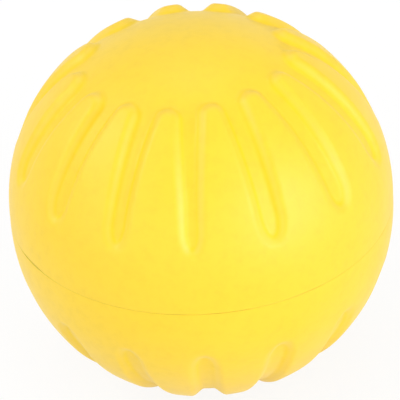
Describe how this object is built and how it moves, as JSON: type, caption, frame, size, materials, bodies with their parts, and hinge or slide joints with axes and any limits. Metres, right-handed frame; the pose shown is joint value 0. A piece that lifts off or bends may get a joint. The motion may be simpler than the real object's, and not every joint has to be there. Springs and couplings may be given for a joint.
{
  "type": "foam play ball",
  "caption": "Hand-sized round foam ball with radial finger grooves on both halves, sunk smooth caps and a bonded seam round the middle.",
  "frame": {"origin": "middle of the ball, on the seam plane", "axes": "+Z through the two smooth caps, square to the seam; -Y through the middle of one groove of each half"},
  "size_m": [0.089, 0.089, 0.0876],
  "materials": {
    "upper_foam": "matt moulded closed-cell foam skin",
    "lower_foam": "matt moulded closed-cell foam skin",
    "adhesive": "thin dried adhesive"
  },
  "bodies": {
    "root": {"upper_half": "upper_foam", "lower_half": "lower_foam", "bond_film": "adhesive"}
  },
  "joints": []
}
